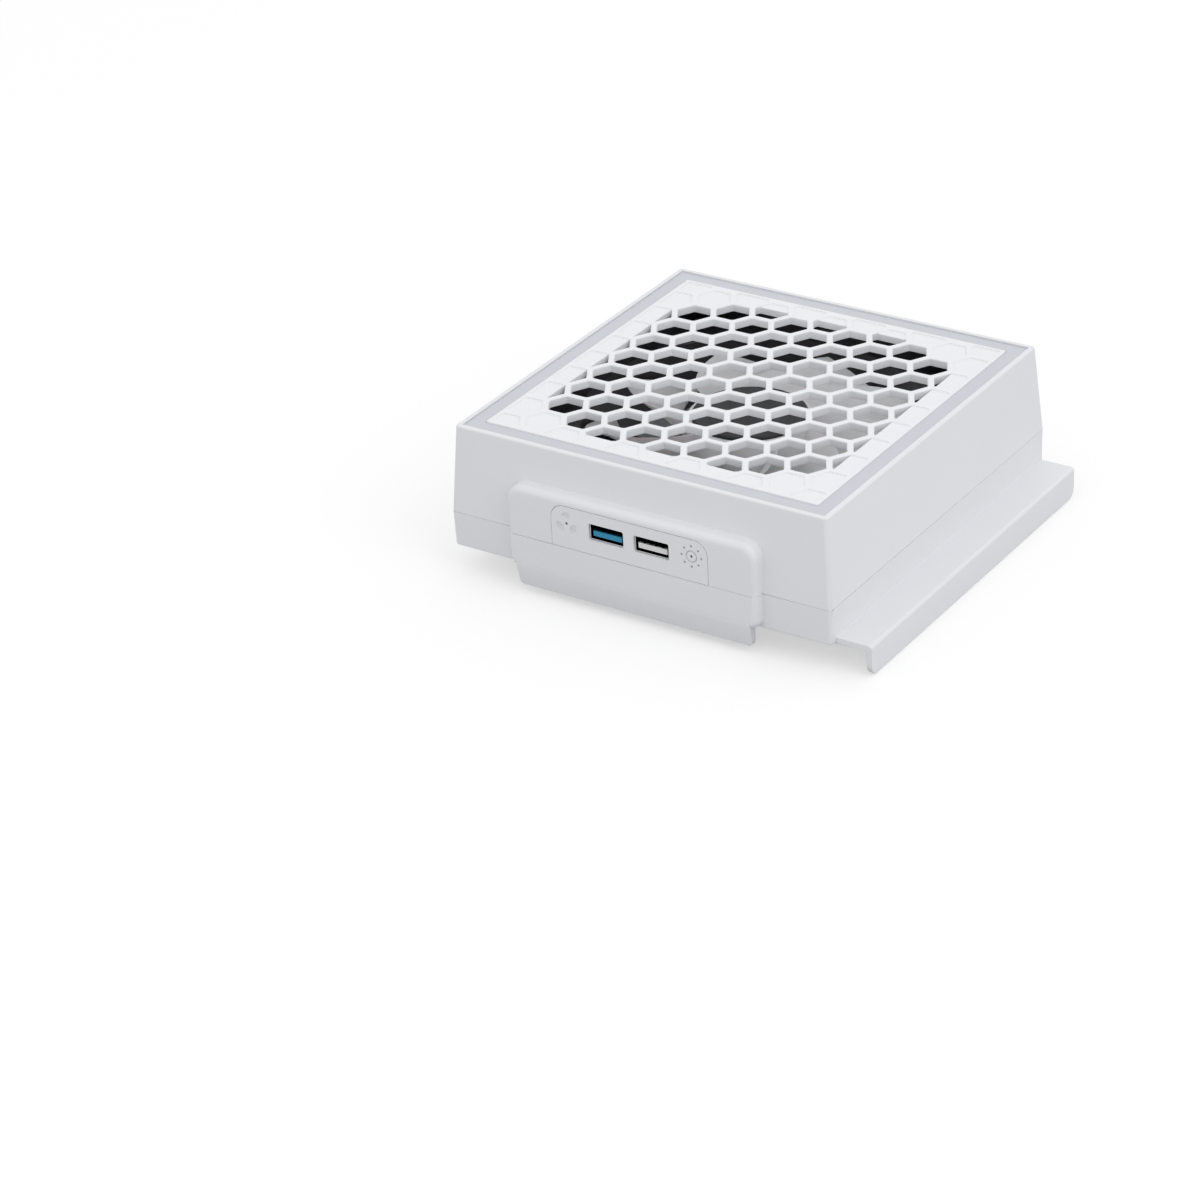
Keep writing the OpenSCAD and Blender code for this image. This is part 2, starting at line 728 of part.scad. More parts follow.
module lower_shell() {
    color("whitesmoke")
        difference() {
            union() {
                difference() {
                    union() {
                        loft(concat(
                            [for (a = [90 : -30 : 0])
                                case_ring(edge_r * (1 - cos(a)), z_base + edge_r * (1 - sin(a)))],
                            [case_ring(0, z_part)]
                        ));
                        intersection() {
                            boss_body();
                            below_part();
                        }
                    }
                    loft([case_ring(wall, z_floor), case_ring(wall, z_part + cut)]);
                    intersection() {
                        boss_hollow();
                        translate([0, 0, cut])
                            below_part();
                    }
                }
                front_lip();
                hook();
                locating_tongue();
                at_corners(post_x, post_y)
                    translate([0, 0, z_base + edge_r])
                        cylinder(r = post_r, h = lower_h - edge_r);
                at_corners(hole_xy, hole_xy)
                    translate([0, 0, z_base + edge_r])
                        cylinder(r = fan_post_r, h = z_fan - z_base - edge_r);
                translate([0, 0, z_base])
                    cylinder(r = duct_r + collar_t, h = z_fan - z_base);
                at_board_posts()
                    translate([0, 0, z_boss_low])
                        cylinder(r = board_post_r, h = z_board - board_t - z_boss_low);
                at_inlet_posts()
                    translate([0, 0, z_base + edge_r])
                        cylinder(r = inlet_post_r, h = z_inlet_board - z_base - edge_r);
                translate([-panel_w / 2 + ledge_w + panel_gap, y_face + panel_t, z_boss_low + boss_wall])
                    cube([
                        panel_w - 2 * ledge_w - 2 * panel_gap, ledge,
                        z_part + rib_h - z_boss_low - boss_wall
                    ]);
            }
            translate([0, 0, z_base - cut])
                cylinder(r = duct_r, h = case_h);
            at_corners(post_x, post_y) {
                translate([0, 0, z_base - cut])
                    cylinder(d = case_screw_d + 4 * screw_gap, h = lower_h + 2 * cut);
                translate([0, 0, z_base - cut])
                    cylinder(d = case_head_d + 4 * screw_gap, h = case_head_depth + cut);
            }
            at_corners(hole_xy, hole_xy) {
                translate([0, 0, z_base - cut])
                    cylinder(d = fan_screw_d + 2 * screw_gap, h = case_h);
                translate([0, 0, z_base - cut])
                    cylinder(d = fan_head_d + 4 * screw_gap, h = fan_head_depth + cut);
            }
            at_corners(pad_x, pad_y)
                translate([0, 0, z_base - cut])
                    cylinder(d = pad_d + 2 * panel_gap, h = pad_seat + cut);
            at_board_posts()
                translate([0, 0, z_board - board_t - board_screw_len])
                    cylinder(d = board_screw_d + 2 * screw_gap, h = board_screw_len + cut);
            at_inlet_posts()
                translate([0, 0, z_base + floor_t / 2])
                    cylinder(d = board_screw_d + 2 * screw_gap, h = case_h);
            translate([-inlet_x, case_d / 2 + cut, z_inlet])
                rotate([90, 0, 0])
                    linear_extrude(wall + lower_lean + 2 * cut)
                        round_rect(inlet_w + 4 * panel_gap, inlet_h + 4 * panel_gap, inlet_h / 2);
            seam_groove();
        }
}

module upper_shell() {
    z_under = z_trough - trough_floor_t;
    trough_in = [plate_x - seat_step, plate_y - seat_step];
    color("whitesmoke")
        difference() {
            union() {
                difference() {
                    union() {
                        loft(concat(
                            [case_ring(0, z_part)],
                            [for (a = [0 : 30 : 90])
                                case_ring(edge_r * (1 - cos(a)), z_rim - edge_r * (1 - sin(a)))]
                        ));
                        intersection() {
                            boss_body();
                            above_part();
                        }
                    }
                    loft([case_ring(wall, z_part - cut), case_ring(wall, z_under)]);
                    intersection() {
                        boss_hollow();
                        translate([0, 0, -cut])
                            above_part();
                    }
                    // Hollow under the deck, then the opening through it
                    translate([-trough_in.x + trough_floor_t, -trough_in.y + trough_floor_t, z_part])
                        cube([
                            2 * (trough_in.x - trough_floor_t), 2 * (trough_in.y - trough_floor_t),
                            z_seat - deck_t - z_part
                        ]);
                }
                at_corners(post_x, post_y)
                    translate([0, 0, z_part])
                        cylinder(r = post_r, h = z_under + trough_floor_t / 2 - z_part);
            }
            translate([-vent_half, -vent_half, z_part])
                cube([2 * vent_half, 2 * vent_half, case_h]);
            // Recess for the plate and the ring, then the ring's trough
            translate([-rim_x, -rim_y, z_seat])
                cube([2 * rim_x, 2 * rim_y, case_h]);
            translate([0, 0, z_trough])
                square_ring(rim_x - seat_step, rim_y - seat_step, trough_in.x, trough_in.y, case_h);
            translate([inner_socket_x, -light_y, z_under - cut])
                cylinder(d = led_lead_d + 6 * screw_gap, h = trough_floor_t + 2 * cut);
            at_corners(post_x, post_y)
                translate([0, 0, z_part - cut])
                    cylinder(d = case_screw_d + 2 * screw_gap, h = case_screw_len);
            panel_slab(panel_gap, y_face - cut, y_face + panel_t);
            panel_slab(-ledge_w, y_face - cut, y_face + boss_wall + cut);
            translate([-panel_w / 2 + ledge_w, y_face - cut, z_part - cut])
                cube([panel_w - 2 * ledge_w, boss_wall + 2 * cut, 2 * cut + rib_h]);
            seam_groove();
        }
}

// One cell of the lattice, with its flat sides along x
module cell(flat) {
    circle(r = flat / sqrt(3), $fn = 6);
}
function cell_row(col, row) = row + (col % 2 == 0 ? 0 : 0.5);
function is_open(col, row) =
    let (c = abs(col), r = abs(cell_row(col, row)))
    c <= open_reach && r <= open_rows && r + c / 2 <= open_reach;
module cells(flat, open) {
    for (col = [-cell_cols : cell_cols], row = [-cell_rows : cell_rows])
        if (is_open(col, row) == open)
            translate([col * cell_step_x, cell_row(col, row) * cell_pitch])
                cell(flat);
}

module honeycomb_grille() {
    x = plate_x - panel_gap;
    y = plate_y - panel_gap;
    color("white")
        translate([0, 0, z_seat])
            difference() {
                linear_extrude(grille_t)
                    difference() {
                        square([2 * x, 2 * y], center = true);
                        intersection() {
                            cells(cell_pitch - cell_wall, true);
                            square(vent_w, center = true);
                        }
                    }
                // The cells that stay closed are only sunk a little
                translate([0, 0, grille_t - recess_t])
                    linear_extrude(recess_t + cut)
                        intersection() {
                            square([2 * (x - plate_edge), 2 * (y - plate_edge)], center = true);
                            union() {
                                cells(cell_pitch - cell_wall, false);
                                difference() {
                                    cells(cell_pitch - cell_wall, true);
                                    square(vent_w - cut, center = true);
                                }
                            }
                        }
            }
}

module light_ring() {
    color([0.8, 0.81, 0.84])
        translate([0, 0, z_seat])
            square_ring(
                rim_x - panel_gap, rim_y - panel_gap, plate_x, plate_y, grille_t - ring_drop
            );
}

module led_board() {
    half = led_board_w / 2;
    color("ivory")
        translate([0, 0, z_trough])
            square_ring(light_x + half, light_y + half, light_x - half, light_y - half, led_board_t);
}

module led_chips() {
    color("lightyellow")
        translate([0, 0, z_trough + led_board_t + led_t / 2])
            for (k = [0 : led_count - 1], s = [-1, 1])
                let (along = (k - (led_count - 1) / 2) * led_pitch) {
                    translate([along, s * light_y, 0])
                        cube([led_size, led_size, led_t], center = true);
                    translate([s * light_x, along, 0])
                        cube([led_size, led_size, led_t], center = true);
                }
}

// Three-petal fan symbol and a light symbol with rays, as flat shapes about their middles
module fan_symbol() {
    circle(symbol_dot_r);
    for (a = [90, 210, 330])
        rotate(a)
            intersection() {
                translate([petal_x - petal_bulge, 0])
                    circle(petal_r);
                translate([petal_x + petal_bulge, 0])
                    circle(petal_r);
            }
}
module light_symbol() {
    circle(symbol_dot_r);
    difference() {
        circle(sun_r);
        circle(sun_r - sun_line);
    }
    for (a = [0 : 45 : 315])
        rotate(a)
            translate([ray_x, 0])
                circle(ray_r);
}
module symbols(y0, y1) {
    translate([-symbol_x, y1, z_symbols])
        rotate([90, 0, 0])
            linear_extrude(y1 - y0)
                fan_symbol();
    translate([symbol_x, y1, z_symbols])
        rotate([90, 0, 0])
            linear_extrude(y1 - y0)
                light_symbol();
}

module control_panel() {
    color("whitesmoke")
        difference() {
            panel_slab(0, y_face, y_face + panel_t);
            translate([-panel_w, y_face - cut, z_base])
                cube([2 * panel_w, panel_t + 2 * cut, z_part + panel_gap - z_base]);
            for (side = [-1, 1])
                port_slab(side, panel_gap, y_face - cut, y_face + panel_t + cut);
            symbols(y_face - cut, y_face + symbol_t);
        }
}

module panel_symbols() {
    color("silver")
        symbols(y_face + symbol_dip, y_face + symbol_t);
}

module touch_board() {
    z0 = z_part + rib_h + panel_gap;
    color("darkgreen")
        difference() {
            translate([-touch_board_w / 2, y_touch, z0])
                cube([touch_board_w, touch_board_t, z_panel_top - touch_margin - z0]);
            for (side = [-1, 1])
                port_slab(side, 2 * panel_gap, y_touch - cut, y_board_front + cut);
        }
}

module touch_pads() {
    color("darkgoldenrod")
        for (side = [-1, 1])
            translate([side * symbol_x, y_touch, z_symbols])
                rotate([90, 0, 0])
                    cylinder(r = touch_pad_r, h = ledge);
}

module control_board() {
    color("darkgreen")
        difference() {
            translate([-board_w / 2, y_board_front, z_board - board_t])
                cube([board_w, y_board_back - y_board_front, board_t]);
            at_board_posts()
                translate([0, 0, z_board - board_t - cut])
                    cylinder(d = board_screw_d + 2 * screw_gap, h = board_t + 2 * cut);
        }
}

// The controller chip and its coil and capacitors
module board_parts() {
    color("dimgray") {
        translate([-inner_socket_x - chip_size.x / 2, socket_y - chip_size.y / 2, z_board])
            cube(chip_size);
        translate([-socket_x - coil_size.x / 2, y_board_front + part_gap, z_board])
            cube(coil_size);
        for (side = [-1, 1])
            translate([socket_x + side * cap_spread - cap_size.x / 2, y_board_front + part_gap, z_board])
                cube(cap_size);
    }
}

// Sockets for the fan, light and power leads
module board_sockets() {
    color("ivory")
        for (x = [socket_x, inner_socket_x, -socket_x])
            translate([x - socket_size.x / 2, socket_y - socket_size.y / 2, z_board])
                cube(socket_size);
}

// A sheet metal port shell, closed at the back
module port_shell(side) {
    y0 = y_face + port_recess;
    color("silver")
        difference() {
            port_slab(side, 0, y0, y0 + shell_len);
            port_slab(side, -shell_t, y0 - cut, y0 + shell_len - shell_t);
        }
}
module port_tongue(side) {
    y0 = y_face + port_recess;
    y_block = y0 + shell_len - shell_t - port_block;
    port_slab(side, -shell_t - push_fit, y_block, y_block + port_block);
    z0 = z_port - tongue_drop - tongue_t / 2;
    translate([side * port_pitch / 2 - tongue_w / 2, y0 + tongue_recess, z0])
        cube([tongue_w, y_block + port_block / 2 - y0 - tongue_recess, tongue_t]);
}
module port_contacts(side, xs, w, y_start, len) {
    y0 = y_face + port_recess + y_start;
    for (x = xs)
        translate([side * port_pitch / 2 + x - w / 2, y0, z_port - tongue_drop + tongue_t / 2])
            cube([w, len, contact_t]);
}

module left_port_shell() {
    port_shell(-1);
}
module left_port_tongue() {
    color([0.16, 0.55, 0.76])
        port_tongue(-1);
}
module left_port_contacts() {
    color("gold") {
        port_contacts(-1, contact_x, contact_w, rear_contact_y, rear_contact_len);
        port_contacts(-1, front_contact_x, front_contact_w, front_contact_y, front_contact_len);
    }
}
module right_port_shell() {
    port_shell(1);
}
module right_port_tongue() {
    color("white")
        port_tongue(1);
}
module right_port_contacts() {
    color("gold")
        port_contacts(1, contact_x, contact_w, front_contact_y, long_contact_len);
}

module inlet_board() {
    color("darkgreen")
        difference() {
            translate([-inlet_x - inlet_board.x / 2, y_inlet_board, z_inlet_board])
                cube(inlet_board);
            at_inlet_posts()
                translate([0, 0, z_inlet_board - cut])
                    cylinder(d = board_screw_d + 2 * screw_gap, h = inlet_board.z + 2 * cut);
        }
}

// The inlet's outline as a slab between two depths
module inlet_slab(grow, y0, y1) {
    translate([-inlet_x, y1, z_inlet])
        rotate([90, 0, 0])
            linear_extrude(y1 - y0)
                round_rect(inlet_w + 2 * grow, inlet_h + 2 * grow, (inlet_h - inlet_flat) / 2 + grow);
}
module inlet_shell() {
    y0 = y_inlet_mouth - inlet_len;
    color("silver")
        difference() {
            inlet_slab(0, y0, y_inlet_mouth);
            inlet_slab(-shell_t, y0 + shell_t, y_inlet_mouth + cut);
        }
}
module inlet_tongue() {
    y0 = y_inlet_mouth - inlet_len + shell_t;
    color("dimgray") {
        inlet_slab(-shell_t - push_fit, y0, y0 + inlet_block);
        translate([-inlet_x - inlet_tongue_size.x / 2, y0 + inlet_block / 2, z_inlet])
            translate([0, 0, -inlet_tongue_size.z / 2])
                cube(inlet_tongue_size);
    }
}

// The square frame with its duct
module fan_frame() {
    color([0.1, 0.1, 0.11])
        translate([0, 0, z_fan])
            difference() {
                union() {
                    cylinder(r = duct_r + duct_wall, h = fan_h);
                    for (z = [0, fan_h - flange_t])
                        translate([0, 0, z])
                            linear_extrude(flange_t)
                                round_rect(fan_size, fan_size, fan_corner_r);
                }
                translate([0, 0, -cut])
                    cylinder(r = duct_r, h = fan_h + 2 * cut);
                at_corners(hole_xy, hole_xy)
                    translate([0, 0, -cut])
                        cylinder(d = fan_screw_d + 2 * screw_gap, h = fan_h + 2 * cut);
                translate([fan_lead_x - lead_slot_w / 2, -fan_size / 2 - cut, -cut])
                    cube([lead_slot_w, duct_edge + lead_slot_in, cut + flange_t]);
            }
}

// The foam ring that leads the air from the frame up to the plate
module duct_seal() {
    outer = min(fan_size / 2 - seal_in, vent_half - panel_gap);
    inner = outer - seal_t;
    color([0.1, 0.1, 0.11])
        translate([0, 0, z_fan + fan_h])
            square_ring(outer, outer, inner, inner, seal_h);
}

// The base, the bearing tube and the four struts that carry the motor in the duct
module motor_mount() {
    color([0.1, 0.1, 0.11])
        translate([0, 0, z_fan])
            difference() {
                union() {
                    cylinder(r = base_r, h = base_t);
                    tube(base_r, base_r - base_rim_t, base_rim_h);
                    cylinder(r = tube_r, h = z_bearing_top - z_fan);
                    intersection() {
                        for (a = [0, 90])
                            rotate(a)
                                translate([-duct_r, -strut_w / 2, 0])
                                    cube([2 * duct_r, strut_w, strut_h]);
                        tube(duct_r - push_fit, base_r - base_rim_t / 2, strut_h);
                    }
                }
                translate([0, 0, -cut])
                    cylinder(d = bearing_d + 2 * push_fit, h = fan_h);
                // Notch in the rim where the lead leaves the motor
                translate([fan_lead_x - lead_slot_w / 2, -base_r - cut, z_notch - z_fan])
                    cube([lead_slot_w, base_rim_t + 2 * cut, base_rim_h]);
            }
}

module motor_board() {
    color("darkgreen")
        translate([0, 0, z_fan + base_t])
            tube(base_r - base_rim_t - motor_board_gap, tube_r + motor_board_gap, motor_board_t);
}

module sleeve_bearing() {
    color("peru")
        translate([0, 0, z_bearing])
            tube(bearing_d / 2, shaft_d / 2 + running_fit, bearing_len);
}

module bearing_cap() {
    color("black")
        translate([0, 0, z_fan])
            cylinder(d = bearing_d, h = cap_t);
}

module stator_core() {
    ring_r = tube_r + push_fit + core_ring_t;
    color("slategray")
        translate([0, 0, z_core])
            linear_extrude(core_h)
                difference() {
                    union() {
                        circle(ring_r);
                        for (a = [45 : 90 : 315])
                            rotate(a) {
                                translate([ring_r - cut, -neck_w / 2])
                                    square([core_r - shoe_t / 2 - ring_r + cut, neck_w]);
                                intersection() {
                                    difference() {
                                        circle(core_r);
                                        circle(core_r - shoe_t);
                                    }
                                    polygon([
                                        [0, 0],
                                        2 * core_r * [cos(shoe_angle / 2), -sin(shoe_angle / 2)],
                                        2 * core_r * [cos(shoe_angle / 2), sin(shoe_angle / 2)]
                                    ]);
                                }
                            }
                    }
                    circle(tube_r + push_fit);
                }
}

module stator_coils() {
    r0 = tube_r + push_fit + core_ring_t + coil_gap;
    half = neck_w / 2 + coil_wall;
    r1 = sqrt(pow(core_r - shoe_t, 2) - half * half) - coil_gap;
    color("chocolate")
        for (a = [45 : 90 : 315])
            rotate(a)
                translate([r0, 0, z_core + core_h / 2])
                    rotate([90, 0, 90])
                        linear_extrude(r1 - r0)
                            difference() {
                                round_rect(2 * half, core_h + 2 * coil_wall, coil_wall);
                                square([neck_w + 2 * push_fit, core_h + 2 * push_fit], center = true);
                            }
}

module rotor_hub() {
    dome_r = 1;
    color([0.12, 0.12, 0.13])
        difference() {
            rotate_extrude()
                union() {
                    translate([0, z_hub_low])
                        square([hub_r, z_hub_top - dome_r - z_hub_low]);
                    translate([0, z_hub_top - dome_r])
                        square([hub_r - dome_r, dome_r]);
                    translate([hub_r - dome_r, z_hub_top - dome_r])
                        intersection() {
                            circle(dome_r);
                            square(dome_r);
                        }
                }
            difference() {
                translate([0, 0, z_hub_low - cut])
                    cylinder(r = hub_r - hub_wall, h = z_hub_top - hub_top_t - z_hub_low + cut);
                translate([0, 0, z_bearing_top + thrust_gap])
                    cylinder(r = hub_boss_r, h = fan_h);
            }
            translate([0, 0, z_hub_low - cut])
                cylinder(d = shaft_d + 2 * push_fit, h = z_hub_top - shaft_depth - z_hub_low + cut);
        }
}

// A blade's ring of points at one radius, lower face first
function blade_ring(k) =
    let (
        s = k / (blade_rings - 1),
        r = hub_r + sleeve_t / 2 + s * (tip_r - hub_r - sleeve_t / 2),
        mid = -blade_sweep * s,
        span = blade_span[0] + s * (blade_span[1] - blade_span[0]),
        z0 = blade_root_z[0] + s * (blade_tip_z[0] - blade_root_z[0]),
        z1 = blade_root_z[1] + s * (blade_tip_z[1] - blade_root_z[1])
    )
    concat(
        [for (j = [0 : blade_points - 1]) blade_point(r, mid, span, z0, z1, j, -1)],
        [for (j = [blade_points - 1 : -1 : 0]) blade_point(r, mid, span, z0, z1, j, 1)]
    );
function blade_point(r, mid, span, z0, z1, j, side) =
    let (
        f = j / (blade_points - 1),
        a = mid + (f - 0.5) * span,
        z = z0 + (z1 - z0) * ((1 - blade_curl) * f + blade_curl * f * f),
        half = blade_t / 2 * sqrt(blade_edge + (1 - blade_edge) * sin(180 * f))
    )
    [r * cos(a), r * sin(a), z + side * half];

module rotor_blades() {
    color([0.8, 0.8, 0.82]) {
        translate([0, 0, z_hub_low])
            tube(hub_r + sleeve_t, hub_r + push_fit, z_hub_top - sleeve_drop - z_hub_low);
        for (k = [0 : blade_count - 1])
            rotate(blade_turn + 360 * k / blade_count)
                loft([for (i = [0 : blade_rings - 1]) blade_ring(i)]);
    }
}

module rotor_yoke() {
    color("gray")
        translate([0, 0, z_hub_low + yoke_rise])
            tube(yoke_r, yoke_r - yoke_t, z_hub_top - hub_top_t - z_hub_low - yoke_rise);
}

module rotor_magnet() {
    color([0.25, 0.22, 0.2])
        translate([0, 0, z_core - magnet_below])
            tube(magnet_r, magnet_r - magnet_t, core_h + magnet_below + magnet_above);
}

module rotor_shaft() {
    color("lightgray")
        difference() {
            translate([0, 0, z_fan + cap_t + shaft_end_gap])
                cylinder(d = shaft_d, h = z_hub_top - shaft_depth - z_fan - cap_t - shaft_end_gap);
            translate([0, 0, z_clip - push_fit])
                tube(shaft_d, shaft_d / 2 - clip_bite, clip_t + 2 * push_fit);
        }
}

module shaft_clip() {
    color("dimgray")
        translate([0, 0, z_clip])
            tube(bearing_d / 2 - clip_side_gap, shaft_d / 2 - clip_bite + push_fit, clip_t);
}

module fan_screws() {
    color("black")
        at_corners(hole_xy, hole_xy)
            translate([0, 0, z_base + fan_head_depth - fan_head_t])
                screw(fan_screw_d, fan_screw_len, fan_head_d, fan_head_t);
}

module case_screws() {
    color("gray")
        at_corners(post_x, post_y)
            translate([0, 0, z_base + case_head_depth - case_head_t])
                screw(case_screw_d, case_screw_len, case_head_d, case_head_t);
}

module board_screws() {
    color("gray") {
        at_board_posts()
            translate([0, 0, z_board + board_head_t])
                rotate([180, 0, 0])
                    screw(board_screw_d, board_screw_len - screw_end_gap, board_head_d, board_head_t);
        at_inlet_posts()
            translate([0, 0, z_inlet_board + inlet_board.z + board_head_t])
                rotate([180, 0, 0])
                    screw(board_screw_d, inlet_board.z + inlet_post_h, board_head_d, board_head_t);
    }
}

module rubber_pads() {
    color("darkgray")
        at_corners(pad_x, pad_y)
            cylinder(d = pad_d, h = pad_proud + pad_seat);
}

module fan_lead() {
    color("black")
        lead(fan_lead_path, fan_lead_d);
}
module led_lead() {
    color("white")
        lead(led_lead_path, led_lead_d);
}
module power_lead() {
    color("black")
        lead(power_lead_path, power_lead_d);
}

lower_shell();
upper_shell();
honeycomb_grille();
light_ring();
led_board();
led_chips();
control_panel();
panel_symbols();
touch_board();
touch_pads();
control_board();
board_parts();
board_sockets();
left_port_shell();
left_port_tongue();
left_port_contacts();
right_port_shell();
right_port_tongue();
right_port_contacts();
inlet_board();
inlet_shell();
inlet_tongue();
fan_frame();
duct_seal();
motor_mount();
motor_board();
sleeve_bearing();
bearing_cap();
stator_core();
stator_coils();
rotor_hub();
rotor_blades();
rotor_yoke();
rotor_magnet();
rotor_shaft();
shaft_clip();
fan_screws();
case_screws();
board_screws();
rubber_pads();
fan_lead();
led_lead();
power_lead();
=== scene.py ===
import json
import math

import bmesh
import bpy
from mathutils import Matrix, Vector


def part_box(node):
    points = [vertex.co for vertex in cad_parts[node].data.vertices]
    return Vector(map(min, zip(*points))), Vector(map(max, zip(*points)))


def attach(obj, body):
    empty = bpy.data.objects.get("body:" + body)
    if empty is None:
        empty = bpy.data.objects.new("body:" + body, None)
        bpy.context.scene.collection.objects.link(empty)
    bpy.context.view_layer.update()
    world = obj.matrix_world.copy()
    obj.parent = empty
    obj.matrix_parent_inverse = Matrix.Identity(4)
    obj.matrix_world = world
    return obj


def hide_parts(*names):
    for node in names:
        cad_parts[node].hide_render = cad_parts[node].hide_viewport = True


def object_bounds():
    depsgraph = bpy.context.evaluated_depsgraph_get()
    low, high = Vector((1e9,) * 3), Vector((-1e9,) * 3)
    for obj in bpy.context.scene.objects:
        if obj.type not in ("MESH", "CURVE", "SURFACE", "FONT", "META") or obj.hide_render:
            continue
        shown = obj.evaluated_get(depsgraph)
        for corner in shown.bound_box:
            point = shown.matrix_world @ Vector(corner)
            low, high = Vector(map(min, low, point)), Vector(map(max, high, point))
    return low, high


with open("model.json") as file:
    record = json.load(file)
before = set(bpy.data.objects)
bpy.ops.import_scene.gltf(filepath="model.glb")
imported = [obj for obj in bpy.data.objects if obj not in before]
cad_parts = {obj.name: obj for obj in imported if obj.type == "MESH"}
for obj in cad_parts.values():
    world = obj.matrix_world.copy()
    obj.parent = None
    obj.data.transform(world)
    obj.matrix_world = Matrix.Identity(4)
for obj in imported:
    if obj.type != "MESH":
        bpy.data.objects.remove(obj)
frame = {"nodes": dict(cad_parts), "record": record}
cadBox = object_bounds()
nodes = frame["nodes"]
scene = bpy.context.scene
mm = 0.001
print("frame loaded,", len(nodes), "nodes")

photoView = {
    "azimuth": 34.59, "elevation": 29.07, "roll": 3.15,  # degrees
    "distance": 1322.0, "across": 51.93, "up": 33.3,  # mm, from the camera to the middle of the underside
    "underside": 0.6,  # mm above the pads' plane
    "lens": 116.58, "sensor": 36.0, "near": 10.0,  # mm
}


def addCamera(look):
    azimuth, elevation, roll = (math.radians(look[k]) for k in ("azimuth", "elevation", "roll"))
    flat = math.cos(elevation)
    back = Vector((math.sin(azimuth) * flat, -math.cos(azimuth) * flat, math.sin(elevation)))
    level = Vector((0, 0, 1)).cross(back).normalized()
    upright = back.cross(level)
    right = level * math.cos(roll) - upright * math.sin(roll)
    up = level * math.sin(roll) + upright * math.cos(roll)
    place = Vector((0, 0, look["underside"])) - right * look["across"] - up * look["up"]
    place = (place + back * look["distance"]) * mm
    data = bpy.data.cameras.new("photoCamera")
    data.lens = look["lens"]
    data.sensor_width = look["sensor"]
    data.clip_start = look["near"] * mm
    camera = bpy.data.objects.new("photoCamera", data)
    camera.matrix_world = Matrix((
        (right.x, up.x, back.x, place.x),
        (right.y, up.y, back.y, place.y),
        (right.z, up.z, back.z, place.z),
        (0, 0, 0, 1),
    ))
    scene.collection.objects.link(camera)
    scene.camera = camera


addCamera(photoView)
print("camera placed")


class Wire:  # an output socket whose maths adds Math nodes
    def __init__(self, paint, socket):
        self.paint = paint
        self.socket = socket

    def maths(self, operation, first, second):
        return self.paint.add("ShaderNodeMath", {"operation": operation}, {0: first, 1: second})

    def __add__(self, other):
        return self.maths("ADD", self, other)

    def __radd__(self, other):
        return self.maths("ADD", other, self)

    def __sub__(self, other):
        return self.maths("SUBTRACT", self, other)

    def __rsub__(self, other):
        return self.maths("SUBTRACT", other, self)

    def __mul__(self, other):
        return self.maths("MULTIPLY", self, other)

    def __rmul__(self, other):
        return self.maths("MULTIPLY", other, self)

    def __gt__(self, other):
        return self.maths("GREATER_THAN", self, other)

    def __lt__(self, other):
        return self.maths("LESS_THAN", self, other)

    def __abs__(self):
        return self.maths("ABSOLUTE", self, 0.0)

    def clamped(self):
        return self.paint.add("ShaderNodeClamp", None, {"Value": self})


class NodeTree:  # the nodes of a material or of the world, and one method that adds any of them
    def __init__(self, owner):
        owner.use_nodes = True
        self.tree = owner.node_tree

    def feed(self, node, values):
        for key, value in values.items():
            if isinstance(value, Wire):
                self.tree.links.new(value.socket, node.inputs[key])
            else:
                node.inputs[key].default_value = value

    def add(self, kind, settings=None, values=None, out=0):
        node = self.tree.nodes.new(kind)
        for key, value in (settings or {}).items():
            setattr(node, key, value)
        self.feed(node, values or {})
        return Wire(self, node.outputs[out])

    def seen(self):  # 1 where the camera, a mirror or glass looks, 0 for light that bounces
        rays = ("Is Camera Ray", "Is Glossy Ray", "Is Transmission Ray")
        camera, mirror, glass = (self.add("ShaderNodeLightPath", out=ray) for ray in rays)
        return camera + mirror + glass > 0.5

    def shown(self, surface):
        output = next(node for node in self.tree.nodes if node.bl_idname.startswith("ShaderNodeOutput"))
        self.feed(output, {"Surface": surface})


class Paint(NodeTree):  # a material with one shader
    def __init__(self, name, values):
        self.material = bpy.data.materials.new(name)
        super().__init__(self.material)
        self.shader = self.tree.nodes["Principled BSDF"]
        self.place = self.add("ShaderNodeTexCoord", out="Object")
        self.feed(self.shader, values)

    def along(self, axis):  # place along one axis, in mm
        return self.add("ShaderNodeSeparateXYZ", None, {0: self.place}, out=axis) * (1 / mm)

    def noise(self, size, detail=2.0, stretch=(1, 1, 1)):  # size of the blotches in mm
        place = self.add("ShaderNodeMapping", None, {"Vector": self.place, "Scale": stretch})
        values = {"Vector": place, "Scale": 1 / (size * mm), "Detail": detail}
        return self.add("ShaderNodeTexNoise", None, values)

    def waves(self, period, direction):  # bands, with their period in mm
        settings = {"wave_type": "BANDS", "bands_direction": direction, "wave_profile": "SIN"}
        values = {"Vector": self.place, "Scale": math.pi / (10 * period * mm)}
        return self.add("ShaderNodeTexWave", settings, values)

    def mixed(self, factor, first, second):
        return self.add("ShaderNodeMix", {"data_type": "RGBA"}, {0: factor, 6: first, 7: second}, out=2)

    def bump(self, height, depth):  # depth in mm
        return self.add("ShaderNodeBump", None, {"Height": height, "Distance": depth * mm, "Strength": 1.0})


def tone(red, green, blue):
    return (red, green, blue, 1.0)


